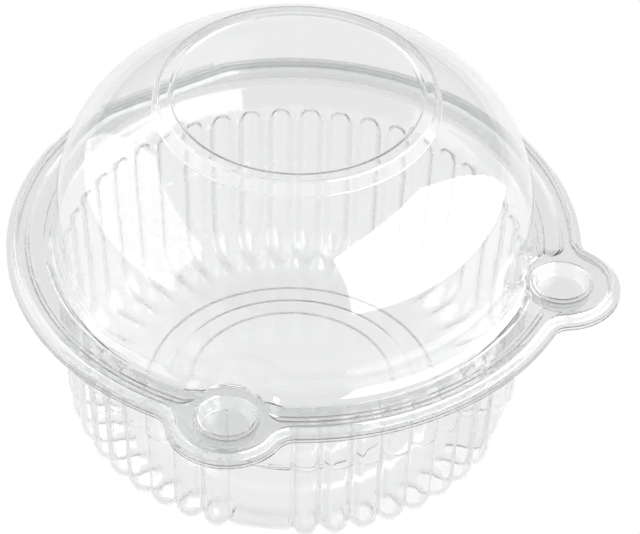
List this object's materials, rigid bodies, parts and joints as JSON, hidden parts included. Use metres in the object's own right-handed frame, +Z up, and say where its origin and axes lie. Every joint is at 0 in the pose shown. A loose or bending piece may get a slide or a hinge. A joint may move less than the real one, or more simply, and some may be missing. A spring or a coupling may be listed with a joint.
{
  "type": "cupcake box",
  "caption": "Clear round single-cake box: a fluted cup and a domed flat-topped lid on a straight rear hinge, snapped shut at round front tabs.",
  "frame": {"origin": "on the table under the middle of the cup, at the level of the ring it stands on", "axes": "+Z up along the cup's axis, +Y towards the hinge, -Y towards the front between the two snap tabs"},
  "size_m": [0.111, 0.1109, 0.0768],
  "materials": {
    "clear_sheet_base": "clear glossy thermoformed sheet",
    "clear_sheet_lid": "clear glossy thermoformed sheet"
  },
  "bodies": {
    "base": {"base_tray": "clear_sheet_base"},
    "lid": {"lid_dome": "clear_sheet_lid"}
  },
  "joints": [
    {"name": "lid_hinge", "type": "hinge", "parent": "base", "child": "lid", "pos_m": [0, 0.0556, 0.03985], "axis": [-1, 0, 0], "range_deg": [0, 180]}
  ]
}
